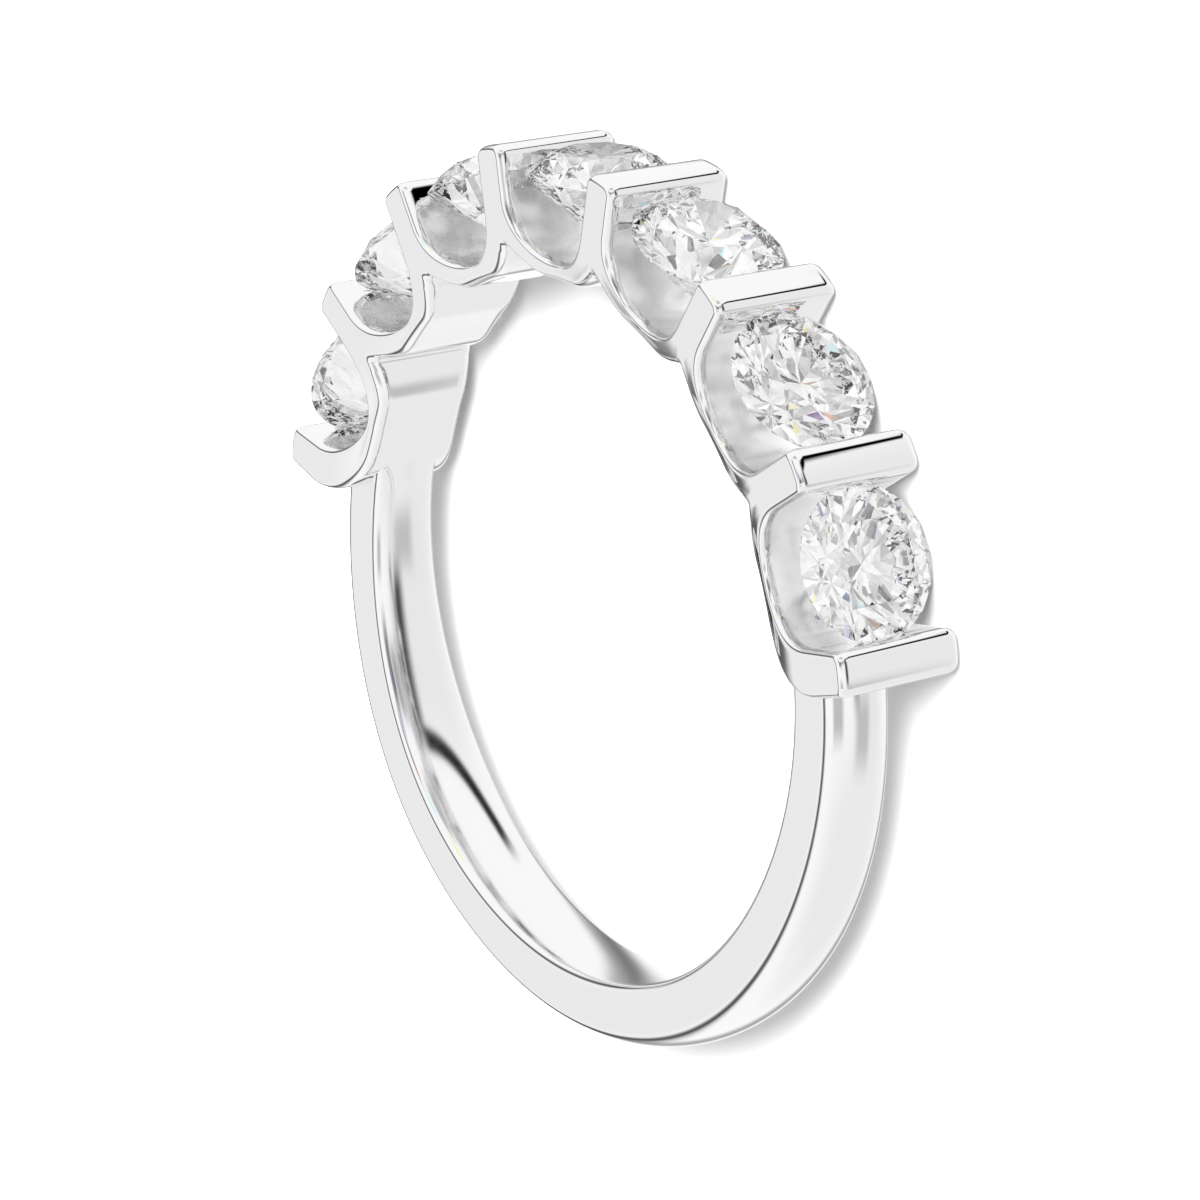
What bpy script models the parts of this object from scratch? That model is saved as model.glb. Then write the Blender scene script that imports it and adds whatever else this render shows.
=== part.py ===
# Bar-set half-eternity band, lying on its side.
# Seven round brilliants sit between eight plain bars, on scalloped cups that
# run into a plain comfort-fit shank. The finger axis is parallel to Z, the
# middle stone points to +Y, and the lowest point of the ring is at z = 0.
from math import cos, pi, radians, sin, sqrt, tan

import bmesh
import bpy
from mathutils import Matrix, Vector

MM = 0.001

# Finger hole and shank
BORE_RADIUS = 8.25 * MM            # at mid width: an inside diameter of 16.5 mm
COMFORT_RISE = 0.27 * MM           # how far the bore opens out towards its two edges
SHANK_EDGE_RADIUS = 9.66 * MM      # outer edge of the flat side faces
SHANK_SHOULDER = 0.18 * MM         # rounding from there to the edge of the domed outside
SHANK_CROWN = 0.20 * MM            # rise of the dome from that edge to its middle
SHANK_HALF_WIDTH_BASE = 1.07 * MM
SHANK_HALF_WIDTH_HEAD = 0.78 * MM
SHANK_BEVEL = 0.08 * MM            # inner edge of the side faces
TAPER_START = radians(80)          # angles run from the middle stone
TAPER_END = radians(138)
SHANK_END = radians(69)            # buried end, inside the last cup
DIVE_START = radians(81)           # from here the buried end thins out
DIVE_INNER_RADIUS = 8.38 * MM
DIVE_OUTER_RADIUS = 8.50 * MM
DIVE_SHOULDER = 0.05 * MM
SHANK_STEPS = 26                   # stations on one half
SHANK_ARC_STEPS = 4                # facets across the bore and across the dome

# Bars
STONE_COUNT = 7
PITCH = radians(22.75)
BAR_TOP_RADIUS = 11.29 * MM
BAR_THICKNESS = 1.0 * MM
BAR_LENGTH = 3.26 * MM
BAR_CORNER = 0.17 * MM             # rounding of a bar's top, seen from the side
CORNER_STEPS = 2
SIDE_EDGE = 0.16 * MM              # rounding between the side and the upper faces
FLOOR_SIDE_EDGE = 0.05 * MM        # the same at the bottom of a channel
EDGE_STEPS = 3                     # faces across each of these roundings

# Channels under the stones, and the cups that carry them
FLOOR_RADIUS = 8.72 * MM           # lowest line of the channel floor
FLOOR_STEPS = 10
CUP_RADIUS = 8.12 * MM             # underside of the cup before the bore trims it
CUSP_RADIUS = 9.0 * MM             # tip of the notch under each bar
CUSP_SPREAD = radians(0.9)
UNDER_EDGE_IN = 0.25 * MM          # rounding under the cups: into the metal
UNDER_EDGE_ACROSS = 0.40 * MM      # and along the finger axis
HOOK_RADIUS = 1.87 * MM            # outside round of the end hooks
HOOK_CENTRE = (0.75 * MM, 10.12 * MM)
HOOK_TURN = radians(85)
CURVE_STEPS = 24
SIDE_ROWS = 2                      # rows of faces down a side face
SIDE_NARROWING = (                 # radius from the finger axis, share of the half length
    (8.50 * MM, 0.80),
    (8.72 * MM, 0.83),
    (9.00 * MM, 0.89),
    (9.50 * MM, 0.97),
    (10.0 * MM, 1.00),
)

# Stones
STONE_DIAMETER = 3.42 * MM
STONE_SEAT_RADIUS = 10.59 * MM     # girdle plane, from the finger axis
STONE_TURN = radians(7)            # each stone sits a little turned from the last
TABLE_SHARE = 0.57                 # facet proportions of a round brilliant
CROWN_ANGLE = radians(34.5)
PAVILION_ANGLE = radians(40.8)
STAR_SHARE = 0.52
LOWER_HALF_SHARE = 0.77
GIRDLE_SHARE = 0.025
SEAT_SCALE = 1.04                  # the seats cut in the bars, over the stones

# Worked out from the sizes above
STONE_RADIUS = STONE_DIAMETER / 2
HALF_GIRDLE = GIRDLE_SHARE * STONE_DIAMETER / 2
TABLE_HEIGHT = HALF_GIRDLE + STONE_RADIUS * (1 - TABLE_SHARE) * tan(CROWN_ANGLE)
HALF_PITCH = PITCH / 2
HALF_BAR = BAR_THICKNESS / 2
HALF_LENGTH = BAR_LENGTH / 2
LAST_SEAT = STONE_COUNT // 2
FLOOR_ARC = (FLOOR_RADIUS * sin(HALF_PITCH) - HALF_BAR) / (1 - sin(HALF_PITCH))
FLOOR_CENTRE = FLOOR_RADIUS + FLOOR_ARC
FLOOR_SWEEP = pi / 2 - HALF_PITCH
HEAD_TOP = BAR_TOP_RADIUS * cos(HALF_PITCH) + (HALF_BAR - BAR_CORNER) * sin(HALF_PITCH)
SHANK_OUTER_RADIUS = SHANK_EDGE_RADIUS + SHANK_SHOULDER + SHANK_CROWN
BORE_Y = -(HEAD_TOP - SHANK_OUTER_RADIUS) / 2
MID_Z = STONE_RADIUS               # the girdles are the widest part of the ring
MERGE = 0.002 * MM


def ease(value, start, stop):
    share = min(max((value - start) / (stop - start), 0.0), 1.0)
    return share * share * (3 - 2 * share)


def seat_point(seat, across, up):
    """A point given in a seat's frame, about the finger axis; seat 0 is the middle one."""
    angle = seat * PITCH
    return Vector((across * cos(angle) + up * sin(angle), up * cos(angle) - across * sin(angle)))


def bar_point(seat, across, up):
    """A point given in the frame of the bar on the right of a seat."""
    return seat_point(seat + 0.5, across, up)


def half_width(radius):
    """Half length of the head along the finger axis, narrower towards the bore."""
    if radius <= SIDE_NARROWING[0][0]:
        return HALF_LENGTH * SIDE_NARROWING[0][1]
    for (low, share_low), (high, share_high) in zip(SIDE_NARROWING, SIDE_NARROWING[1:]):
        if radius <= high:
            t = (radius - low) / (high - low)
            return HALF_LENGTH * (share_low + (share_high - share_low) * t)
    return HALF_LENGTH


# Upper side of the head. Each path is a list of (point, direction into the metal).

def floor_path(seat, start, stop, steps):
    """The channel floor, an arc; angles run from straight down to the right."""
    path = []
    for i in range(steps + 1):
        a = start + (stop - start) * i / steps
        point = seat_point(seat, FLOOR_ARC * sin(a), FLOOR_CENTRE - FLOOR_ARC * cos(a))
        path.append((point, seat_point(seat, sin(a), -cos(a))))
    return path


def bar_flank(seat, side):
    """A face of the bar right of a seat, from the channel up.

    side is -1 for the face towards the seat and +1 for the face away from it."""
    foot = FLOOR_CENTRE * cos(HALF_PITCH)
    top = BAR_TOP_RADIUS - BAR_CORNER
    inward = bar_point(seat, -side, 0)
    return [(bar_point(seat, side * HALF_BAR, foot + (top - foot) * share), inward)
            for share in (0.0, 0.5, 1.0)]


def bar_corner(seat, side, start, stop):
    """Rounded top corner of a bar; angles run from straight up towards the given side."""
    path = []
    for i in range(CORNER_STEPS + 1):
        a = start + (stop - start) * i / CORNER_STEPS
        across = side * (HALF_BAR - BAR_CORNER + BAR_CORNER * sin(a))
        up = BAR_TOP_RADIUS - BAR_CORNER + BAR_CORNER * cos(a)
        path.append((bar_point(seat, across, up), bar_point(seat, -side * sin(a), -cos(a))))
    return path


# Lower side of the head. Each path is a plain list of points.

def cup_path(seat, start, stop):
    """Underside of a cup between two angles from its seat, an arc trimmed by the bore."""
    chord = CUSP_RADIUS * sin(HALF_PITCH)
    sag = CUSP_RADIUS * cos(HALF_PITCH) - CUP_RADIUS
    radius = (chord * chord + sag * sag) / (2 * sag)
    centre = CUP_RADIUS + radius
    path = []
    for i in range(CURVE_STEPS + 1):
        a = start + (stop - start) * i / CURVE_STEPS
        reach = centre * cos(a) - sqrt(radius * radius - (centre * sin(a)) ** 2)
        reach = max(reach, BORE_RADIUS)
        path.append(seat_point(seat, reach * sin(a), reach * cos(a)))
    return path


def cusp_path(seat, start, stop):
    """Rounded tip of the notch under the bar right of a seat, about the bar's own plane."""
    near, edge = [p.length for p in cup_path(seat, HALF_PITCH - 1.1 * CUSP_SPREAD,
                                             HALF_PITCH - CUSP_SPREAD)][::CURVE_STEPS]
    slope = (edge - near) / (0.1 * CUSP_SPREAD)
    path = []
    for i in range(CURVE_STEPS + 1):
        a = start + (stop - start) * i / CURVE_STEPS
        reach = edge + slope * (CUSP_SPREAD ** 2 - a ** 2) / (2 * CUSP_SPREAD)
        path.append(bar_point(seat, reach * sin(a), reach * cos(a)))
    return path


def hook_path():
    """From under the last stone round the outside of the hook, to the bar's outer corner."""
    path = [seat_point(LAST_SEAT, 0, BORE_RADIUS)]
    for i in range(CURVE_STEPS + 1):
        a = HOOK_TURN * i / CURVE_STEPS
        across = HOOK_CENTRE[0] + HOOK_RADIUS * sin(a)
        path.append(seat_point(LAST_SEAT, across, HOOK_CENTRE[1] - HOOK_RADIUS * cos(a)))
    return path + [point for point, inward in bar_corner(LAST_SEAT, 1, pi / 2, pi / 4)]


def at_share(path, share):
    """The point at a share of a path's length."""
    spans = [(b - a).length for a, b in zip(path, path[1:])]
    left = share * sum(spans)
    for i, span in enumerate(spans):
        if left <= span and span > 0:
            return path[i].lerp(path[i + 1], left / span)
        left -= span
    return path[-1].copy()


def shares(path):
    """How far along its path each point lies, from 0 to 1."""
    run = [0.0]
    for (a, _), (b, _) in zip(path, path[1:]):
        run.append(run[-1] + (b - a).length)
    return [r / run[-1] for r in run]


def head_runs():
    """Pairs of an upper and a lower path, from the middle of the head to its right end."""
    quarter = HALF_PITCH - CUSP_SPREAD
    tip = CUSP_SPREAD / 2
    runs = [(floor_path(0, 0, FLOOR_SWEEP, FLOOR_STEPS // 2), cup_path(0, 0, quarter))]
    for seat in range(LAST_SEAT):
        top = bar_corner(seat, -1, pi / 2, 0) + bar_corner(seat, 1, 0, pi / 2)
        runs.append((bar_flank(seat, -1), cusp_path(seat, -CUSP_SPREAD, -tip)))
        runs.append((top, cusp_path(seat, -tip, tip)))
        runs.append((bar_flank(seat, 1)[::-1], cusp_path(seat, tip, CUSP_SPREAD)))
        runs.append((floor_path(seat + 1, -FLOOR_SWEEP, 0, FLOOR_STEPS // 2),
                     cup_path(seat + 1, -quarter, 0)))
        if seat + 1 < LAST_SEAT:
            runs.append((floor_path(seat + 1, 0, FLOOR_SWEEP, FLOOR_STEPS // 2),
                         cup_path(seat + 1, 0, quarter)))
    last = floor_path(LAST_SEAT, 0, FLOOR_SWEEP, FLOOR_STEPS // 2)
    last += bar_flank(LAST_SEAT, -1)[1:]
    last += bar_corner(LAST_SEAT, -1, pi / 2, 0)[1:] + bar_corner(LAST_SEAT, 1, 0, pi / 4)
    runs.append((last, hook_path()))
    return runs


def head_stations():
    """Rows of (upper point, its inward direction, lower point, its inward direction, end share)."""
    rows = []
    runs = head_runs()
    for number, (upper, lower) in enumerate(runs):
        for i, share in enumerate(shares(upper)):
            if number and i == 0:
                continue
            end_share = share if number == len(runs) - 1 else 0.0
            rows.append([upper[i][0], upper[i][1], at_share(lower, share), None, end_share])
    for i, row in enumerate(rows):
        before = rows[max(i - 1, 0)][2]
        after = rows[min(i + 1, len(rows) - 1)][2]
        along = (after - before).normalized()
        row[3] = Vector((-along.y, along.x))
    rows[0][3] = Vector((0.0, 1.0))
    rows[-1][3] = rows[-1][1].copy()
    return rows


def head_section(upper, upper_in, lower, lower_in, end_share):
    """Half of the closed section at one station, from the upper face to the lower one."""
    edge = FLOOR_SIDE_EDGE + (SIDE_EDGE - FLOOR_SIDE_EDGE) * ease(upper.length, 8.8 * MM, 9.9 * MM)
    deep = UNDER_EDGE_IN + (SIDE_EDGE - UNDER_EDGE_IN) * end_share
    wide = UNDER_EDGE_ACROSS + (SIDE_EDGE - UNDER_EDGE_ACROSS) * end_share
    side_top = upper + upper_in * edge
    side_foot = lower + lower_in * deep
    top_z = half_width(side_top.length)
    foot_z = half_width(side_foot.length)
    half = []
    for i in range(EDGE_STEPS + 1):
        a = i / EDGE_STEPS * pi / 2
        point = upper + upper_in * edge * (1 - cos(a))
        half.append((*point, top_z - edge * (1 - sin(a))))
    for i in range(1, SIDE_ROWS):
        point = side_top.lerp(side_foot, i / SIDE_ROWS)
        half.append((*point, half_width(point.length)))
    for i in range(EDGE_STEPS + 1):
        a = (1 - i / EDGE_STEPS) * pi / 2
        point = lower + lower_in * deep * (1 - cos(a))
        half.append((*point, foot_z - wide * (1 - sin(a))))
    return half


def shank_section(angle):
    """Closed section of the shank at an angle from the middle stone."""
    dive = ease(DIVE_START - angle, 0.0, DIVE_START - SHANK_END)
    width = SHANK_HALF_WIDTH_HEAD + (SHANK_HALF_WIDTH_BASE - SHANK_HALF_WIDTH_HEAD) * ease(
        angle, TAPER_START, TAPER_END)
    inner = BORE_RADIUS + (DIVE_INNER_RADIUS - BORE_RADIUS) * dive
    rise = COMFORT_RISE * (1 - dive)
    outer = SHANK_EDGE_RADIUS + (DIVE_OUTER_RADIUS - SHANK_EDGE_RADIUS) * dive
    shoulder = SHANK_SHOULDER + (DIVE_SHOULDER - SHANK_SHOULDER) * dive
    crown = SHANK_CROWN * (1 - dive)
    levels = [-1 + 2 * i / SHANK_ARC_STEPS for i in range(SHANK_ARC_STEPS + 1)]
    bore = [(inner + rise * t * t, t * (width - SHANK_BEVEL)) for t in levels]
    dome = [(outer + shoulder + crown * (1 - t * t), -t * (width - SHANK_SHOULDER)) for t in levels]
    near_side = [
        (inner + rise + SHANK_BEVEL, width),
        (outer, width),
        (outer + shoulder * sin(pi / 4), width - SHANK_SHOULDER * (1 - cos(pi / 4))),
    ]
    far_side = [(r, -z) for r, z in near_side[::-1]]
    section = bore + near_side + dome + far_side
    return [(r * sin(angle), r * cos(angle), z) for r, z in section]


def loft(name, sections, cap_last):
    """A mesh object through closed sections; the first one lies on the mirror plane x = 0."""
    count = len(sections[0])
    points = [p for section in sections for p in section]
    faces = []
    for s in range(len(sections) - 1):
        for i in range(count):
            j = (i + 1) % count
            faces.append((s * count + i, (s + 1) * count + i, (s + 1) * count + j, s * count + j))
    if cap_last:
        faces.append(tuple(range((len(sections) - 1) * count, len(sections) * count)))
    mesh = bpy.data.meshes.new(name)
    mesh.from_pydata(points, [], faces)
    edit = bmesh.new()
    edit.from_mesh(mesh)
    bmesh.ops.remove_doubles(edit, verts=edit.verts, dist=MERGE)
    bmesh.ops.dissolve_degenerate(edit, edges=edit.edges, dist=MERGE)
    bmesh.ops.recalc_face_normals(edit, faces=edit.faces)
    edit.to_mesh(mesh)
    edit.free()
    half = bpy.data.objects.new(name, mesh)
    mirror = half.modifiers.new("other half", "MIRROR")
    mirror.use_axis = (True, False, False)
    mirror.merge_threshold = MERGE
    return half


def brilliant_mesh():
    """A 57-facet round brilliant about its own Z, with its girdle plane at z = 0."""
    table_radius = STONE_RADIUS * TABLE_SHARE
    star_radius = table_radius * cos(pi / 8) + STAR_SHARE * (STONE_RADIUS - table_radius * cos(pi / 8))
    star_height = TABLE_HEIGHT - (star_radius * cos(pi / 8) - table_radius) * tan(CROWN_ANGLE)
    low_radius = STONE_RADIUS * (1 - LOWER_HALF_SHARE)
    culet = -HALF_GIRDLE - STONE_RADIUS * tan(PAVILION_ANGLE)
    low_height = culet + low_radius * cos(pi / 8) * tan(PAVILION_ANGLE)

    def ring(radius, height, count, offset):
        turns = [2 * pi * (i + offset) / count for i in range(count)]
        return [edit.verts.new((radius * cos(a), radius * sin(a), height)) for a in turns]

    edit = bmesh.new()
    table = ring(table_radius, TABLE_HEIGHT, 8, 0)
    star = ring(star_radius, star_height, 8, 0.5)
    girdle_top = ring(STONE_RADIUS, HALF_GIRDLE, 16, 0)
    girdle_low = ring(STONE_RADIUS, -HALF_GIRDLE, 16, 0)
    low = ring(low_radius, low_height, 8, 0.5)
    tip = edit.verts.new((0, 0, culet))
    edit.faces.new(table)
    for i in range(8):
        before = i - 1
        after = (i + 1) % 8
        main = 2 * i
        between = 2 * i + 1
        following = (2 * i + 2) % 16
        edit.faces.new((table[i], star[i], table[after]))
        edit.faces.new((table[i], star[before], girdle_top[main], star[i]))
        edit.faces.new((star[i], girdle_top[main], girdle_top[between]))
        edit.faces.new((star[i], girdle_top[between], girdle_top[following]))
        edit.faces.new((tip, low[i], girdle_low[main], low[before]))
        edit.faces.new((low[i], girdle_low[between], girdle_low[main]))
        edit.faces.new((low[i], girdle_low[following], girdle_low[between]))
    for i in range(16):
        after = (i + 1) % 16
        edit.faces.new((girdle_top[i], girdle_low[i], girdle_low[after], girdle_top[after]))
    bmesh.ops.recalc_face_normals(edit, faces=edit.faces)
    mesh = bpy.data.meshes.new("round brilliant")
    edit.to_mesh(mesh)
    edit.free()
    return mesh


def metal_material():
    material = bpy.data.materials.new("polished white metal")
    material.use_nodes = True
    shader = material.node_tree.nodes["Principled BSDF"]
    shader.inputs["Base Color"].default_value = (0.87, 0.87, 0.88, 1.0)
    shader.inputs["Metallic"].default_value = 1.0
    shader.inputs["Roughness"].default_value = 0.06
    return material


def stone_material():
    material = bpy.data.materials.new("colourless stone")
    material.use_nodes = True
    shader = material.node_tree.nodes["Principled BSDF"]
    shader.inputs["Base Color"].default_value = (1.0, 1.0, 1.0, 1.0)
    shader.inputs["Roughness"].default_value = 0.0
    shader.inputs["IOR"].default_value = 2.42
    shader.inputs["Transmission Weight"].default_value = 1.0
    return material


for old in list(bpy.data.objects):
    bpy.data.objects.remove(old)

ring_parts = bpy.data.collections.new("bar set band")
guides = bpy.data.collections.new("cutters")
bpy.context.scene.collection.children.link(ring_parts)
bpy.context.scene.collection.children.link(guides)

finger_axis = bpy.data.objects.new("finger_axis", None)
finger_axis.location = (0, BORE_Y, MID_Z)
ring_parts.objects.link(finger_axis)

# The shank is an operand: the band's union takes it in, because the ring is cast in one piece.
angles = [pi + (SHANK_END - pi) * i / SHANK_STEPS for i in range(SHANK_STEPS + 1)]
shank = loft("shank_blank", [shank_section(a) for a in angles], cap_last=True)
shank.parent = finger_axis
shank.hide_render = True
shank.display_type = "WIRE"
guides.objects.link(shank)

halves = [head_section(*row) for row in head_stations()]
sections = [half + [(x, y, -z) for x, y, z in half[::-1]] for half in halves]
band = loft("band", sections, cap_last=False)
band.parent = finger_axis
band.data.materials.append(metal_material())
union = band.modifiers.new("shank", "BOOLEAN")
union.operation = "UNION"
union.object = shank
ring_parts.objects.link(band)
band.data.shade_smooth()
band.data.set_sharp_from_angle(angle=radians(32))

stone_mesh = brilliant_mesh()
stone_mesh.materials.append(stone_material())
cuts = bmesh.new()
for number in range(STONE_COUNT):
    seat = number - LAST_SEAT
    centre = seat_point(seat, 0, STONE_SEAT_RADIUS)
    place = (Matrix.Translation((*centre, 0.0)) @ Matrix.Rotation(-seat * PITCH, 4, "Z")
             @ Matrix.Rotation(-pi / 2, 4, "X") @ Matrix.Rotation(seat * STONE_TURN, 4, "Z"))
    stone = bpy.data.objects.new(f"stone_{number + 1}", stone_mesh)
    stone.parent = finger_axis
    stone.matrix_local = place
    ring_parts.objects.link(stone)
    seat_cut = stone_mesh.copy()
    seat_cut.transform(place @ Matrix.Scale(SEAT_SCALE, 4))
    cuts.from_mesh(seat_cut)
    bpy.data.meshes.remove(seat_cut)

# The seats are the stones' own shape, a little larger, cut in the sides of the bars.
seat_mesh = bpy.data.meshes.new("seats")
cuts.to_mesh(seat_mesh)
cuts.free()
seat_cutter = bpy.data.objects.new("seat_cutter", seat_mesh)
seat_cutter.parent = finger_axis
seat_cutter.hide_render = True
seat_cutter.display_type = "WIRE"
guides.objects.link(seat_cutter)
seats = band.modifiers.new("seats", "BOOLEAN")
seats.operation = "DIFFERENCE"
seats.object = seat_cutter
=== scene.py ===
from math import asin, atan2, cos, floor, pi, radians, sin, sqrt, tan

import bmesh
import bpy
from mathutils import Matrix, Vector


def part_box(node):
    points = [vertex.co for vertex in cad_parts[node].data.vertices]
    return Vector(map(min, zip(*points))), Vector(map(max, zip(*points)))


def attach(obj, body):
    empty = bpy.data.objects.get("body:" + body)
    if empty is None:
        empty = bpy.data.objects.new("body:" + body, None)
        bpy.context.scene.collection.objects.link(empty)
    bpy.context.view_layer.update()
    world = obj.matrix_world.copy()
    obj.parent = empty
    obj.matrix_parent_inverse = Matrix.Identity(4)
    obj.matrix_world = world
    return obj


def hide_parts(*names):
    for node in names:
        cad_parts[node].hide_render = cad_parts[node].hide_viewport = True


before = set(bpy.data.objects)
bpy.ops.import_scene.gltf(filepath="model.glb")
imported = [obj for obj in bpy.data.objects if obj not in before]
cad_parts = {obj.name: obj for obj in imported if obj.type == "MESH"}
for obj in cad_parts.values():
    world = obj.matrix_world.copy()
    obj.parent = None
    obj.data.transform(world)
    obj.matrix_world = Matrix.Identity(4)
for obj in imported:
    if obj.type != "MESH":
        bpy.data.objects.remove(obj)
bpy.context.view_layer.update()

# The head: seven scalloped cups and eight bars.
# White gold, cast in one with the shank. The upper side runs over channel floors
# and bars, the lower side along the cups, and one skin of metal lies between.
MM = 0.001
STONE_COUNT = 7
PITCH = radians(22.75)
BORE_RADIUS = 8.25 * MM
BAR_TOP_RADIUS = 11.29 * MM
BAR_THICKNESS = 1.0 * MM
BAR_LENGTH = 3.26 * MM
BAR_CORNER = 0.24 * MM
BAR_PILLOW = 0.045 * MM            # how far the top falls away towards the bar's edges
SIDE_EDGE_IN = 0.17 * MM           # rounding between the bars and the side faces, into the metal
SIDE_EDGE_ACROSS = 0.30 * MM       # and along the finger
FLOOR_EDGE_IN = 0.13 * MM          # the same along the channel floors
FLOOR_EDGE_ACROSS = 0.28 * MM
EDGE_CHANGE = (8.75 * MM, 9.5 * MM)    # where the floors' rounding turns into the bars'
FLOOR_RADIUS = 8.72 * MM
CUP_RADIUS = 8.12 * MM
CUSP_RADIUS = 9.0 * MM
CUSP_SPREAD = radians(0.9)
CUSP_PROBE = 0.1                   # share of the spread over which its slope is measured
NOTCH_MARGIN = 1.001               # so that a station on a notch's very edge counts as in it
CUP_BLEND = 0.07 * MM              # how softly a cup's underside runs out into the finger hole
UNDER_EDGE_IN = 0.25 * MM
UNDER_EDGE_ACROSS = 0.40 * MM
HOOK_RADIUS = 1.87 * MM
HOOK_CENTRE = (0.75 * MM, 10.12 * MM)
HOOK_TURN = radians(85)
FULL_WIDTH_RADIUS = 10.1 * MM      # below this the side faces draw in towards the finger
SIDE_NARROWING = 0.089             # share of the half length lost, times the distance squared in mm
FLOOR_STEPS = 24                   # stations on half a channel floor
FLANK_STEPS = 10
CORNER_STEPS = 6
TOP_STEPS = 8
EDGE_STEPS = 8
SIDE_ROWS = 6
CURVE_STEPS = 90

HALF_PITCH = PITCH / 2
HALF_BAR = BAR_THICKNESS / 2
HALF_LENGTH = BAR_LENGTH / 2
LAST_SEAT = STONE_COUNT // 2
FLOOR_ARC = (FLOOR_RADIUS * sin(HALF_PITCH) - HALF_BAR) / (1 - sin(HALF_PITCH))
FLOOR_CENTRE = FLOOR_RADIUS + FLOOR_ARC
FLOOR_SWEEP = pi / 2 - HALF_PITCH
MERGE = 0.0005 * MM

low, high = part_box("stone_4")
MID_Z = (low.z + high.z) / 2
SHANK_OUTER_RADIUS = 10.04 * MM
FINGER_AXIS = Vector((0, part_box("band")[0].y + SHANK_OUTER_RADIUS, MID_Z))


def ease(value, start, stop):
    share = min(max((value - start) / (stop - start), 0.0), 1.0)
    return share * share * (3 - 2 * share)


def seat_point(seat, across, up):
    """A point in a seat's frame, about the finger axis; seat 0 is the middle stone's."""
    angle = seat * PITCH
    return Vector((across * cos(angle) + up * sin(angle), up * cos(angle) - across * sin(angle)))


def bar_point(seat, across, up):
    """A point in the frame of the bar on the right of a seat."""
    return seat_point(seat + 0.5, across, up)


def half_width(radius):
    drop = max(FULL_WIDTH_RADIUS - radius, 0.0) / MM
    return HALF_LENGTH * (1 - SIDE_NARROWING * drop * drop)


def floor_path(seat, start, stop):
    """The channel floor as (point, direction into the metal); angles from straight down."""
    path = []
    for i in range(FLOOR_STEPS + 1):
        a = start + (stop - start) * i / FLOOR_STEPS
        point = seat_point(seat, FLOOR_ARC * sin(a), FLOOR_CENTRE - FLOOR_ARC * cos(a))
        path.append((point, seat_point(seat, sin(a), -cos(a))))
    return path


def bar_flank(seat, side):
    """A face of the bar right of a seat, going up; side -1 faces the seat, +1 the next one."""
    foot = FLOOR_CENTRE * cos(HALF_PITCH)
    top = BAR_TOP_RADIUS - BAR_CORNER
    inward = bar_point(seat, -side, 0)
    return [(bar_point(seat, side * HALF_BAR, foot + (top - foot) * i / FLANK_STEPS), inward)
            for i in range(FLANK_STEPS + 1)]


def bar_corner(seat, side, start, stop):
    """Rounded top corner of a bar; angles from straight up towards the given side."""
    path = []
    for i in range(CORNER_STEPS + 1):
        a = start + (stop - start) * i / CORNER_STEPS
        across = side * (HALF_BAR - BAR_CORNER + BAR_CORNER * sin(a))
        up = BAR_TOP_RADIUS - BAR_CORNER + BAR_CORNER * cos(a)
        slope = 2 * BAR_PILLOW * across / HALF_BAR ** 2 * cos(a)
        inward = bar_point(seat, -side * sin(a) - slope, -cos(a)).normalized()
        path.append((bar_point(seat, across, up - BAR_PILLOW * (across / HALF_BAR) ** 2 * cos(a)), inward))
    return path


def bar_top(seat):
    """The pillowed top of a bar, between its two corners."""
    path = []
    for i in range(1, TOP_STEPS):
        across = (HALF_BAR - BAR_CORNER) * (2 * i / TOP_STEPS - 1)
        slope = 2 * BAR_PILLOW * across / HALF_BAR ** 2
        up = BAR_TOP_RADIUS - BAR_PILLOW * (across / HALF_BAR) ** 2
        path.append((bar_point(seat, across, up), bar_point(seat, -slope, -1).normalized()))
    return path


def cup_path(seat, start, stop):
    """Underside of a cup, an arc trimmed by the finger hole."""
    chord = CUSP_RADIUS * sin(HALF_PITCH)
    sag = CUSP_RADIUS * cos(HALF_PITCH) - CUP_RADIUS
    radius = (chord * chord + sag * sag) / (2 * sag)
    centre = CUP_RADIUS + radius
    path = []
    for i in range(CURVE_STEPS + 1):
        a = start + (stop - start) * i / CURVE_STEPS
        reach = centre * cos(a) - sqrt(radius * radius - (centre * sin(a)) ** 2)
        reach = (reach + BORE_RADIUS + sqrt((reach - BORE_RADIUS) ** 2 + CUP_BLEND ** 2)) / 2
        path.append(seat_point(seat, reach * sin(a), reach * cos(a)))
    return path


def cusp_slope():
    """How fast the underside leaves the finger at the edge of a notch, and where it is there."""
    path = cup_path(0, HALF_PITCH - (1 + CUSP_PROBE) * CUSP_SPREAD, HALF_PITCH - CUSP_SPREAD)
    near = path[0].length
    edge = path[-1].length
    return (edge - near) / (CUSP_PROBE * CUSP_SPREAD), edge


def cusp_path(seat, start, stop):
    """Rounded tip of the notch under the bar right of a seat."""
    slope, edge = cusp_slope()
    path = []
    for i in range(CURVE_STEPS + 1):
        a = start + (stop - start) * i / CURVE_STEPS
        reach = edge + slope * (CUSP_SPREAD ** 2 - a ** 2) / (2 * CUSP_SPREAD)
        path.append(bar_point(seat, reach * sin(a), reach * cos(a)))
    return path


def hook_path():
    """From under the last stone round the outside of the hook, to the bar's outer corner."""
    path = [seat_point(LAST_SEAT, 0, BORE_RADIUS)]
    for i in range(CURVE_STEPS + 1):
        a = HOOK_TURN * i / CURVE_STEPS
        across = HOOK_CENTRE[0] + HOOK_RADIUS * sin(a)
        path.append(seat_point(LAST_SEAT, across, HOOK_CENTRE[1] - HOOK_RADIUS * cos(a)))
    return path + [point for point, inward in bar_corner(LAST_SEAT, 1, pi / 2, pi / 4)]


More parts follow.
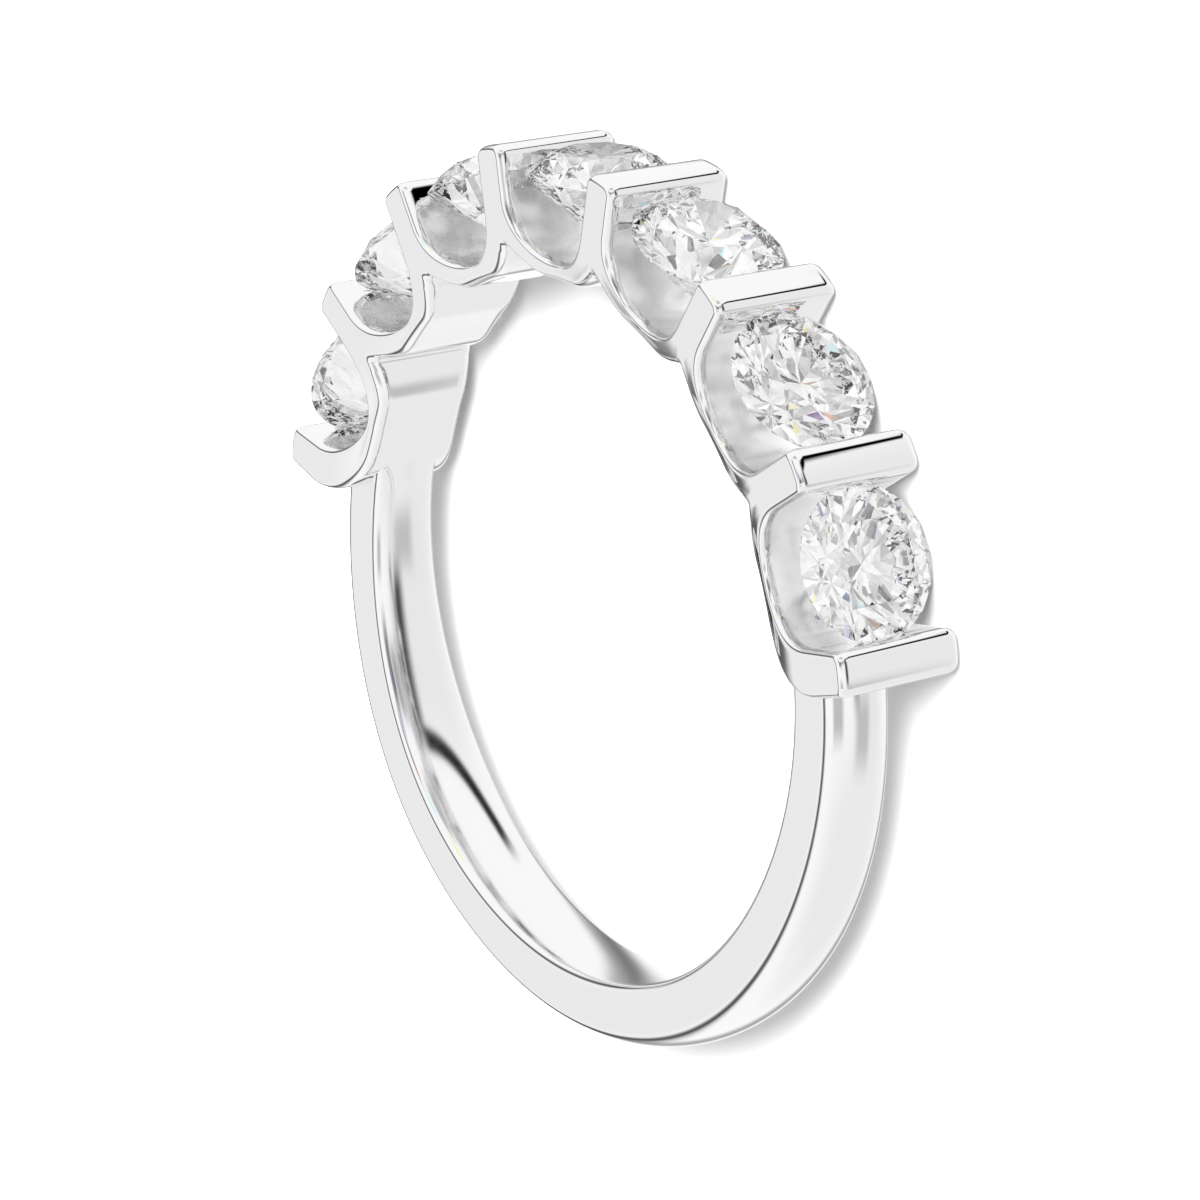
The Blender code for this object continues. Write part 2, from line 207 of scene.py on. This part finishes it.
def at_share(path, share):
    spans = [(b - a).length for a, b in zip(path, path[1:])]
    left = share * sum(spans)
    for i, span in enumerate(spans):
        if left <= span and span > 0:
            return path[i].lerp(path[i + 1], left / span)
        left -= span
    return path[-1].copy()


def shares(path):
    """How far along its path each point lies, from 0 to 1."""
    run = [0.0]
    for (a, _), (b, _) in zip(path, path[1:]):
        run.append(run[-1] + (b - a).length)
    return [r / run[-1] for r in run]


def head_runs():
    """Pairs of an upper and a lower path, from the middle of the head to its right end."""
    quarter = HALF_PITCH - CUSP_SPREAD
    tip = CUSP_SPREAD / 2
    runs = [(floor_path(0, 0, FLOOR_SWEEP), cup_path(0, 0, quarter))]
    for seat in range(LAST_SEAT):
        top = bar_corner(seat, -1, pi / 2, 0) + bar_top(seat) + bar_corner(seat, 1, 0, pi / 2)
        runs.append((bar_flank(seat, -1), cusp_path(seat, -CUSP_SPREAD, -tip)))
        runs.append((top, cusp_path(seat, -tip, tip)))
        runs.append((bar_flank(seat, 1)[::-1], cusp_path(seat, tip, CUSP_SPREAD)))
        runs.append((floor_path(seat + 1, -FLOOR_SWEEP, 0), cup_path(seat + 1, -quarter, 0)))
        if seat + 1 < LAST_SEAT:
            runs.append((floor_path(seat + 1, 0, FLOOR_SWEEP), cup_path(seat + 1, 0, quarter)))
    last = floor_path(LAST_SEAT, 0, FLOOR_SWEEP)
    last += bar_flank(LAST_SEAT, -1)[1:]
    last += bar_corner(LAST_SEAT, -1, pi / 2, 0)[1:] + bar_top(LAST_SEAT)
    last += bar_corner(LAST_SEAT, 1, 0, pi / 4)
    runs.append((last, hook_path()))
    return runs


def head_stations():
    """Rows of (upper point, its inward direction, lower point, its inward direction, end share)."""
    rows = []
    *runs, last_run = head_runs()
    for upper, lower in runs:
        for i, share in enumerate(shares(upper)):
            if i or not rows:
                rows.append([*upper[i], at_share(lower, share), None, 0.0])
    last_start = len(rows)
    upper, lower = last_run
    for i, share in enumerate(shares(upper)[1:], 1):
        rows.append([*upper[i], at_share(lower, share), None, share])
    mitre = sqrt(1 + (cusp_slope()[0] / CUSP_RADIUS) ** 2)
    for i, row in enumerate(rows):
        before = rows[max(i - 1, 0)][2]
        after = rows[min(i + 1, len(rows) - 1)][2]
        along = (after - before).normalized()
        row[3] = Vector((-along.y, along.x))
        turn = atan2(row[2].x, row[2].y) / PITCH
        off_notch = abs(turn - floor(turn) - 0.5) * PITCH
        if i < last_start and off_notch < CUSP_SPREAD * NOTCH_MARGIN:
            row[3] = row[2].normalized() * mitre
    rows[0][3] = Vector((0.0, 1.0))
    rows[-1][3] = rows[-1][1].copy()
    return rows


def head_section(upper, upper_in, lower, lower_in, end_share):
    """Half of the closed section at one station, from the upper face to the lower one."""
    on_bar = ease(upper.length, *EDGE_CHANGE)
    edge_in = FLOOR_EDGE_IN + (SIDE_EDGE_IN - FLOOR_EDGE_IN) * on_bar
    edge_across = FLOOR_EDGE_ACROSS + (SIDE_EDGE_ACROSS - FLOOR_EDGE_ACROSS) * on_bar
    deep = UNDER_EDGE_IN + (SIDE_EDGE_IN - UNDER_EDGE_IN) * end_share
    wide = UNDER_EDGE_ACROSS + (SIDE_EDGE_ACROSS - UNDER_EDGE_ACROSS) * end_share
    side_top = upper + upper_in * edge_in
    side_foot = lower + lower_in * deep
    top_z = half_width(side_top.length)
    foot_z = half_width(side_foot.length)
    half = []
    for i in range(EDGE_STEPS + 1):
        a = i / EDGE_STEPS * pi / 2
        point = upper + upper_in * edge_in * (1 - cos(a))
        half.append((*point, top_z - edge_across * (1 - sin(a))))
    for i in range(1, SIDE_ROWS):
        point = side_top.lerp(side_foot, i / SIDE_ROWS)
        half.append((*point, half_width(point.length)))
    for i in range(EDGE_STEPS + 1):
        a = (1 - i / EDGE_STEPS) * pi / 2
        point = lower + lower_in * deep * (1 - cos(a))
        half.append((*point, foot_z - wide * (1 - sin(a))))
    return half


def loft(name, sections, cap_last):
    """A mesh object through closed sections, mirrored about x = 0, where the first one lies."""
    count = len(sections[0])
    points = [p for section in sections for p in section]
    faces = []
    for s in range(len(sections) - 1):
        for i in range(count):
            j = (i + 1) % count
            faces.append((s * count + i, (s + 1) * count + i, (s + 1) * count + j, s * count + j))
    if cap_last:
        faces.append(tuple(range((len(sections) - 1) * count, len(sections) * count)))
    mesh = bpy.data.meshes.new(name)
    mesh.from_pydata(points, [], faces)
    edit = bmesh.new()
    edit.from_mesh(mesh)
    bmesh.ops.remove_doubles(edit, verts=edit.verts, dist=MERGE)
    bmesh.ops.dissolve_degenerate(edit, edges=edit.edges, dist=MERGE)
    bmesh.ops.recalc_face_normals(edit, faces=edit.faces)
    edit.to_mesh(mesh)
    edit.free()
    half = bpy.data.objects.new(name, mesh)
    half.location = FINGER_AXIS
    mirror = half.modifiers.new("other half", "MIRROR")
    mirror.use_axis = (True, False, False)
    mirror.merge_threshold = MERGE
    bpy.context.scene.collection.objects.link(half)
    return half


halves = [head_section(*row) for row in head_stations()]
cast_band = loft("cast_band", [half + [(x, y, -z) for x, y, z in half[::-1]] for half in halves], False)

# The shank.
# The plain part of the white gold casting, with a bore eased for comfort and a
# domed outside. It slims towards the head and runs in under the two end hooks.
COMFORT_RISE = 0.22 * MM
SHANK_EDGE_RADIUS = 9.58 * MM
SHANK_CROWN = 0.46 * MM
SHANK_HALF_WIDTH_BASE = 1.07 * MM
SHANK_HALF_WIDTH_HEAD = 0.87 * MM
DOME_TURN = radians(60)
INNER_ROUND = 0.20 * MM
OUTER_ROUND = 0.11 * MM
TAPER = (radians(80), radians(138))
SHANK_END = radians(69)
DIVE_START = radians(81)
DIVE_INNER_RADIUS = 8.38 * MM
DIVE_OUTER_RADIUS = 8.55 * MM
DIVE_SHARPENING = 0.7              # share of its rounding that the buried end loses
SHANK_STEPS = 150
ARC_STEPS = 24
ROUND_STEPS = 6


def round_off(before, corner, after):
    """A rounded corner between two points, without its two ends."""
    path = []
    for i in range(1, ROUND_STEPS):
        t = i / ROUND_STEPS
        path.append(tuple(a * (1 - t) ** 2 + b * 2 * t * (1 - t) + c * t * t
                          for a, b, c in zip(before, corner, after)))
    return path


def shank_section(angle):
    """Closed section of the shank at an angle from the middle stone, as (radius, z)."""
    dive = ease(DIVE_START - angle, 0.0, DIVE_START - SHANK_END)
    width = SHANK_HALF_WIDTH_HEAD + (SHANK_HALF_WIDTH_BASE - SHANK_HALF_WIDTH_HEAD) * ease(
        angle, *TAPER)
    inner = BORE_RADIUS + (DIVE_INNER_RADIUS - BORE_RADIUS) * dive
    rise = COMFORT_RISE * (1 - dive)
    outer = SHANK_EDGE_RADIUS + (DIVE_OUTER_RADIUS - SHANK_EDGE_RADIUS) * dive
    crown = SHANK_CROWN * (1 - dive)
    inner_round = INNER_ROUND * (1 - DIVE_SHARPENING * dive)
    outer_round = OUTER_ROUND * (1 - DIVE_SHARPENING * dive)
    bore = []
    for i in range(ARC_STEPS // 2 + 1):
        across = (width - inner_round) * i / (ARC_STEPS // 2)
        bore.append((inner + rise * (across / width) ** 2, across))
    dome = []
    last = asin((width - outer_round) / width * sin(DOME_TURN))
    for i in range(ARC_STEPS // 2 + 1):
        a = last * (1 - i / (ARC_STEPS // 2))
        share = (cos(a) - cos(DOME_TURN)) / (1 - cos(DOME_TURN))
        dome.append((outer + crown * share, sin(a) / sin(DOME_TURN) * width))
    inner_side = (inner + rise + inner_round, width)
    outer_side = (outer - outer_round, width)
    half = bore + round_off(bore[-1], (inner + rise, width), inner_side)
    half += [inner_side, outer_side] + round_off(outer_side, (outer, width), dome[0]) + dome
    section = half + [(r, -z) for r, z in half[-2:0:-1]]
    return [(r * sin(angle), r * cos(angle), z) for r, z in section]


angles = [pi + (SHANK_END - pi) * i / SHANK_STEPS for i in range(SHANK_STEPS + 1)]
shank = loft("shank", [shank_section(a) for a in angles], True)

# The stones.
# Round brilliants in clear stone, 57 facets each, with a fine faceted girdle.
# Each sits between two bars, its girdle pressed into seats cut in their flanks.
STONE_DIAMETER = 3.42 * MM
STONE_SEAT_RADIUS = 10.59 * MM
STONE_TURN = radians(7)
TABLE_SHARE = 0.57
CROWN_ANGLE = radians(34.5)
PAVILION_ANGLE = radians(40.8)
STAR_SHARE = 0.52
LOWER_HALF_SHARE = 0.77
GIRDLE_SHARE = 0.018
GIRDLE_STEPS = 4                   # girdle points to each half facet
SEAT_SCALE = 1.04
STONE_RADIUS = STONE_DIAMETER / 2
HALF_GIRDLE = GIRDLE_SHARE * STONE_DIAMETER / 2
TABLE_HEIGHT = HALF_GIRDLE + STONE_RADIUS * (1 - TABLE_SHARE) * tan(CROWN_ANGLE)


def girdle_edge(corner, start, stop, half):
    """Where the plane of a half facet cuts the round girdle, between two of its points."""
    a = Vector((STONE_RADIUS * cos(start), STONE_RADIUS * sin(start), half))
    b = Vector((STONE_RADIUS * cos(stop), STONE_RADIUS * sin(stop), half))
    normal = (a - corner).cross(b - corner)
    edge = []
    for i in range(GIRDLE_STEPS + 1):
        turn = start + (stop - start) * i / GIRDLE_STEPS
        x = STONE_RADIUS * cos(turn)
        y = STONE_RADIUS * sin(turn)
        z = corner.z - (normal.x * (x - corner.x) + normal.y * (y - corner.y)) / normal.z
        edge.append(Vector((x, y, z)))
    return edge


def brilliant():
    """One stone about its own Z, its girdle plane at z = 0."""
    table_radius = STONE_RADIUS * TABLE_SHARE
    flat = table_radius * cos(pi / 8)
    star_radius = flat + STAR_SHARE * (STONE_RADIUS - flat)
    star_height = TABLE_HEIGHT - (star_radius * cos(pi / 8) - table_radius) * tan(CROWN_ANGLE)
    low_radius = STONE_RADIUS * (1 - LOWER_HALF_SHARE)
    culet = -HALF_GIRDLE - STONE_RADIUS * tan(PAVILION_ANGLE)
    low_height = culet + low_radius * cos(pi / 8) * tan(PAVILION_ANGLE)
    eighth = pi / 4
    sixteenth = pi / 8

    def ring(radius, height, offset):
        turns = [eighth * i + offset for i in range(8)]
        return [Vector((radius * cos(a), radius * sin(a), height)) for a in turns]

    table = ring(table_radius, TABLE_HEIGHT, 0)
    star = ring(star_radius, star_height, sixteenth)
    low = ring(low_radius, low_height, sixteenth)
    tip = Vector((0, 0, culet))
    facets = [table]
    for i in range(8):
        before = i - 1
        after = (i + 1) % 8
        main = eighth * i
        first = girdle_edge(star[i], main, main + sixteenth, HALF_GIRDLE)
        second = girdle_edge(star[i], main + sixteenth, main + eighth, HALF_GIRDLE)
        first_low = girdle_edge(low[i], main, main + sixteenth, -HALF_GIRDLE)
        second_low = girdle_edge(low[i], main + sixteenth, main + eighth, -HALF_GIRDLE)
        facets.append([table[i], star[i], table[after]])
        facets.append([table[i], star[before], first[0], star[i]])
        facets.append([star[i]] + first)
        facets.append([star[i]] + second)
        facets.append([tip, low[i], first_low[0], low[before]])
        facets.append([low[i]] + first_low[::-1])
        facets.append([low[i]] + second_low[::-1])
        for upper, lower in ((first, first_low), (second, second_low)):
            for j in range(GIRDLE_STEPS):
                facets.append([upper[j], lower[j], lower[j + 1], upper[j + 1]])
    stone = bmesh.new()
    for facet in facets:
        stone.faces.new([stone.verts.new(p) for p in facet])
    bmesh.ops.remove_doubles(stone, verts=stone.verts, dist=MERGE)
    bmesh.ops.recalc_face_normals(stone, faces=stone.faces)
    mesh = bpy.data.meshes.new("brilliant")
    stone.to_mesh(mesh)
    stone.free()
    return mesh


REFRACTION = 2.42
STONE_TINT = (0.985, 0.985, 0.985, 1.0)


def clear_stone():
    """Clear, colourless stone with the refraction of diamond."""
    stone = bpy.data.materials.new("clear_brilliant")
    stone.use_nodes = True
    tree = stone.node_tree
    tree.nodes.remove(tree.nodes["Principled BSDF"])
    glass = tree.nodes.new("ShaderNodeBsdfGlass")
    glass.inputs["Color"].default_value = STONE_TINT
    glass.inputs["Roughness"].default_value = 0.0
    glass.inputs["IOR"].default_value = REFRACTION
    tree.links.new(glass.outputs[0], tree.nodes["Material Output"].inputs["Surface"])
    return stone


brilliant_cut = brilliant()
brilliant_cut.materials.append(clear_stone())
seat_cuts = bmesh.new()
for number in range(STONE_COUNT):
    seat = number - LAST_SEAT
    centre = seat_point(seat, 0, STONE_SEAT_RADIUS)
    place = (Matrix.Translation((*centre, 0.0)) @ Matrix.Rotation(-seat * PITCH, 4, "Z")
             @ Matrix.Rotation(-pi / 2, 4, "X") @ Matrix.Rotation(seat * STONE_TURN, 4, "Z"))
    cut = brilliant_cut.copy()
    cut.transform(place)
    gem = bpy.data.objects.new(f"brilliant_{number + 1}", cut)
    gem.location = FINGER_AXIS
    bpy.context.scene.collection.objects.link(gem)
    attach(gem, "root")
    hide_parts(f"stone_{number + 1}")
    seat_cut = brilliant_cut.copy()
    seat_cut.transform(place @ Matrix.Scale(SEAT_SCALE, 4))
    seat_cuts.from_mesh(seat_cut)
    bpy.data.meshes.remove(seat_cut)

# The finished casting.
# Shank and head are one pour of white gold, plated and buffed to a mirror. The
# stones' seats are cut into the bars with a bur of the stones' own shape.
BAND_TINT = (0.86, 0.86, 0.865, 1.0)
BUFFED_ROUGHNESS = (0.015, 0.045)  # clearest and haziest patches
CHANNEL_ROUGHNESS = (0.22, 0.28)   # the buff hardly reaches down here
# painted light: the channel walls get a lighter tint than the rest of the metal, to lift the shade the
# stones cast into them
CHANNEL_PAINTED_LIGHT_TINT = (0.98, 0.98, 0.98, 1.0)
BORE_ROUGHNESS = (0.09, 0.13)
HAZE_SIZE = 2200.0                 # noise scale: patches of about half a millimetre
HAZE_DETAIL = 3.0
RIPPLE_SIZE = 900.0
RIPPLE_HEIGHT = 0.0004 * MM
CHANNEL_DEPTH_MARGIN = 0.05 * MM
CHANNEL_SIDE_MARGIN = 0.01 * MM
CHANNEL_FLATNESS = 0.1             # how far a channel's face may lean along the finger
BORE_FACING = 0.7                  # how squarely a face of the bore looks at the finger
SHARP_EDGE = radians(30)


def polished_gold(name, tint, roughness):
    metal = bpy.data.materials.new(name)
    metal.use_nodes = True
    tree = metal.node_tree
    shader = tree.nodes["Principled BSDF"]
    shader.inputs["Base Color"].default_value = tint
    shader.inputs["Metallic"].default_value = 1.0
    place = tree.nodes.new("ShaderNodeTexCoord")
    haze = tree.nodes.new("ShaderNodeTexNoise")
    haze.inputs["Scale"].default_value = HAZE_SIZE
    haze.inputs["Detail"].default_value = HAZE_DETAIL
    tree.links.new(place.outputs["Object"], haze.inputs["Vector"])
    polish = tree.nodes.new("ShaderNodeMapRange")
    polish.inputs["To Min"].default_value = roughness[0]
    polish.inputs["To Max"].default_value = roughness[1]
    tree.links.new(haze.outputs["Fac"], polish.inputs["Value"])
    tree.links.new(polish.outputs["Result"], shader.inputs["Roughness"])
    ripple = tree.nodes.new("ShaderNodeTexNoise")
    ripple.inputs["Scale"].default_value = RIPPLE_SIZE
    tree.links.new(place.outputs["Object"], ripple.inputs["Vector"])
    bump = tree.nodes.new("ShaderNodeBump")
    bump.inputs["Distance"].default_value = RIPPLE_HEIGHT
    tree.links.new(ripple.outputs["Fac"], bump.inputs["Height"])
    tree.links.new(bump.outputs["Normal"], shader.inputs["Normal"])
    return metal


seat_mesh = bpy.data.meshes.new("seats")
seat_cuts.to_mesh(seat_mesh)
seat_cuts.free()
bur = bpy.data.objects.new("bur", seat_mesh)
bur.location = FINGER_AXIS
bpy.context.scene.collection.objects.link(bur)

for name, operation, other in (("shank", "UNION", shank), ("seats", "DIFFERENCE", bur)):
    joint = cast_band.modifiers.new(name, "BOOLEAN")
    joint.operation = operation
    joint.object = other
bpy.context.view_layer.update()
finished = bpy.data.meshes.new_from_object(
    cast_band.evaluated_get(bpy.context.evaluated_depsgraph_get()))
cast_band.modifiers.clear()
cast_band.data = finished
bpy.data.objects.remove(shank)
bpy.data.objects.remove(bur)
finished.materials.append(polished_gold("mirror_polished_white_gold", BAND_TINT, BUFFED_ROUGHNESS))
# the channels' metal is rougher, and painted lighter against the stones' shade
finished.materials.append(polished_gold("channel_polished_white_gold_painted_lighter", CHANNEL_PAINTED_LIGHT_TINT, CHANNEL_ROUGHNESS))
finished.materials.append(polished_gold("worn_smooth_white_gold", BAND_TINT, BORE_ROUGHNESS))
# faces in the channels take the painted-lighter metal, faces of the bore the smoother worn metal
for face in finished.polygons:
    radius = face.center.xy.length
    turn = atan2(face.center.x, face.center.y)
    seat = min(max(round(turn / PITCH), -LAST_SEAT), LAST_SEAT)
    across, up = seat_point(-seat, face.center.x, face.center.y)
    open_side = face.normal.xy.dot(seat_point(seat, -across, FLOOR_CENTRE - up))
    in_channel = (radius > FLOOR_RADIUS - CHANNEL_DEPTH_MARGIN and open_side > 0
                  and abs(across) < FLOOR_ARC + CHANNEL_SIDE_MARGIN
                  and abs(face.normal.z) < CHANNEL_FLATNESS)
    in_bore = abs(turn) > DIVE_START and face.normal.xy.dot(face.center.xy) < -BORE_FACING * radius
    face.material_index = 2 if in_bore else int(in_channel)
finished.shade_smooth()
finished.set_sharp_from_angle(angle=SHARP_EDGE)
crisp = cast_band.modifiers.new("faces lead the shading", "WEIGHTED_NORMAL")
crisp.keep_sharp = True
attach(cast_band, "root")
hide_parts("band")

# The tabletop.
# A matt white board, wide enough to fill the view, and a soft lamp over it that
# whitens it and draws the ring's shadow.
TABLE_SIZE = 0.6
TABLE_PAINT = (0.82, 0.82, 0.82, 1.0)
TABLE_ROUGHNESS = 0.9
LAMP_FROM_RING = Vector((150, 190, 260)) * MM
LAMP_SIZE = 240 * MM
LAMP_POWER = 3.0
table = bmesh.new()
bmesh.ops.create_grid(table, x_segments=1, y_segments=1, size=TABLE_SIZE)
table_mesh = bpy.data.meshes.new("tabletop")
table.to_mesh(table_mesh)
table.free()
tabletop = bpy.data.objects.new("tabletop", table_mesh)
bpy.context.scene.collection.objects.link(tabletop)
matt = bpy.data.materials.new("matt_white")
matt.use_nodes = True
matt_shader = matt.node_tree.nodes["Principled BSDF"]
matt_shader.inputs["Base Color"].default_value = TABLE_PAINT
matt_shader.inputs["Roughness"].default_value = TABLE_ROUGHNESS
matt_shader.inputs["Specular IOR Level"].default_value = 0.0
tabletop.data.materials.append(matt)
tabletop.visible_glossy = False
tabletop.visible_transmission = False

lamp_data = bpy.data.lights.new("soft_lamp", "AREA")
lamp_data.shape = "DISK"
lamp_data.size = LAMP_SIZE
lamp_data.energy = LAMP_POWER
lamp = bpy.data.objects.new("soft_lamp", lamp_data)
lamp.location = LAMP_FROM_RING
lamp.rotation_euler = LAMP_FROM_RING.to_track_quat("Z", "Y").to_euler()
lamp.visible_glossy = False
lamp.visible_transmission = False
bpy.context.scene.collection.objects.link(lamp)

# The light tent.
# White cloth all round. Its seams and a few grey cards draw the thin dark lines
# that mark every rounded edge of the polished metal, and the stones' contrast.
TENT_LIGHT = 1.09
TENT_CARDS = (  # round the ring's Y axis: middle, half width, fade; above it: the same; how dark
    (145, 45, 8, 45, 4, 2, 1.0),
    (98, 7, 6, 18, 26, 8, 0.95),
    (-90, 12, 8, -12, 18, 8, 0.85),
    (-55, 32, 20, -18, 32, 20, 0.13),
    (128, 34, 20, 8, 32, 14, 0.14),
    (125, 75, 35, -52, 30, 20, 0.13),
    (70, 25, 12, 66, 9, 6, 0.5),
    (-127, 30, 12, 13, 8, 5, 0.55),
    (112, 16, 8, -17, 8, 6, 0.35),
    (55, 14, 7, 20, 13, 7, 0.75),
    (30, 6, 4, 34, 9, 5, 0.7),
    (80, 7, 5, 27, 11, 6, 0.6),
    (52, 13, 6, -12, 6, 4, 0.45),
)
TENT_RINGS = (  # middle, angle from it, half width, fade; how dark
    ((-0.78, -0.31, 0.55), 47, 7, 6, 0.9),
    ((-0.78, -0.31, -0.55), 26, 7, 6, 0.6),
)
GLINTS = (  # small tinted panes, for the stones' flashes: direction, angle, tint
    ((0.35, 0.62, 0.70), 4, (1.0, 0.50, 0.30, 1.0)),
    ((0.80, 0.42, 0.42), 4, (0.35, 0.50, 1.0, 1.0)),
    ((0.10, 0.92, 0.38), 5, (1.0, 0.92, 0.45, 1.0)),
    ((0.25, 0.75, 0.61), 4, (0.40, 0.90, 1.0, 1.0)),
    ((0.60, 0.55, 0.58), 4, (0.75, 0.5, 1.0, 1.0)),
)
PANE_FADE = 1
world = bpy.data.worlds.new("light_tent")
world.use_nodes = True
sky = world.node_tree


def tent_math(operation, first, second=0.0):
    node = sky.nodes.new("ShaderNodeMath")
    node.operation = operation
    for socket, value in zip(node.inputs, (first, second)):
        if isinstance(value, bpy.types.NodeSocket):
            sky.links.new(value, socket)
        else:
            socket.default_value = value
    return node.outputs[0]


def tent_window(value, low, high, below, above):
    """A soft step between two levels of a value."""
    step = sky.nodes.new("ShaderNodeMapRange")
    step.interpolation_type = "SMOOTHSTEP"
    for socket, level in zip(("From Min", "From Max", "To Min", "To Max"), (low, high, below, above)):
        step.inputs[socket].default_value = level
    sky.links.new(value, step.inputs["Value"])
    return step.outputs["Result"]


looking = sky.nodes.new("ShaderNodeTexCoord")
split = sky.nodes.new("ShaderNodeSeparateXYZ")
sky.links.new(looking.outputs["Generated"], split.inputs[0])
turned = tent_math("ARCTAN2", split.outputs["X"], split.outputs["Z"])
raised = tent_math("ARCSINE", split.outputs["Y"])
light = TENT_LIGHT
for middle, half, fade, height, half_height, fade_height, dark in TENT_CARDS:
    beside = tent_math("ARCCOSINE", tent_math("COSINE", tent_math("SUBTRACT", turned, radians(middle))))
    across = tent_window(beside, radians(half - fade), radians(half + fade), dark, 0.0)
    above = tent_math("ABSOLUTE", tent_math("SUBTRACT", raised, radians(height)))
    up = tent_window(above, radians(half_height - fade_height), radians(half_height + fade_height),
                     1.0, 0.0)
    light = tent_math("MULTIPLY", tent_math("SUBTRACT", 1.0, tent_math("MULTIPLY", across, up)), light)


def tent_angle(direction):
    """The angle between where a ray goes and a direction."""
    along = sky.nodes.new("ShaderNodeVectorMath")
    along.operation = "DOT_PRODUCT"
    along.inputs[1].default_value = Vector(direction).normalized()
    sky.links.new(looking.outputs["Generated"], along.inputs[0])
    return tent_math("ARCCOSINE", along.outputs["Value"])


for direction, angle, half, fade, dark in TENT_RINGS:
    off = tent_math("ABSOLUTE", tent_math("SUBTRACT", tent_angle(direction), radians(angle)))
    through = tent_window(off, radians(half - fade), radians(half + fade), 1 - dark, 1.0)
    light = tent_math("MULTIPLY", through, light)
for direction, angle, tint in GLINTS:
    pane = sky.nodes.new("ShaderNodeMix")
    pane.data_type = "RGBA"
    pane.blend_type = "MULTIPLY"
    [socket for socket in pane.inputs if socket.identifier == "B_Color"][0].default_value = tint
    edges = (radians(angle - PANE_FADE), radians(angle + PANE_FADE))
    inside = tent_window(tent_angle(direction), *edges, 1.0, 0.0)
    sky.links.new(inside, pane.inputs["Factor"])
    sky.links.new(light, [socket for socket in pane.inputs if socket.identifier == "A_Color"][0])
    light = [socket for socket in pane.outputs if socket.identifier == "Result_Color"][0]
sky.links.new(light, sky.nodes["Background"].inputs["Color"])
bpy.context.scene.world = world

# The camera.
# It looks across the ring from above the table, with the stones' side up.
CAMERA_FROM_AXIS = Vector((80.96, 32.05, 56.70)) * MM
AIM_FROM_AXIS = Vector((-0.13, 0.49, -0.08)) * MM
FIELD_OF_VIEW = radians(15.268)
NEAREST = 1 * MM
BOUNCES = 24                       # light's turns inside a stone
MIRROR_BOUNCES = 16
camera_data = bpy.data.cameras.new("camera")
camera_data.sensor_fit = "HORIZONTAL"
camera_data.angle = FIELD_OF_VIEW
camera_data.clip_start = NEAREST
camera = bpy.data.objects.new("camera", camera_data)
bpy.context.scene.collection.objects.link(camera)
ahead = (AIM_FROM_AXIS - CAMERA_FROM_AXIS).normalized()
right = ahead.cross(Vector((0, 1, 0))).normalized()
upward = right.cross(ahead)
camera.matrix_world = Matrix.Translation(FINGER_AXIS + CAMERA_FROM_AXIS) @ Matrix(
    (right, upward, -ahead)).transposed().to_4x4()
bpy.context.scene.camera = camera

scene = bpy.context.scene
scene.view_settings.view_transform = "Standard"
scene.cycles.max_bounces = BOUNCES
scene.cycles.glossy_bounces = MIRROR_BOUNCES
scene.cycles.transmission_bounces = BOUNCES
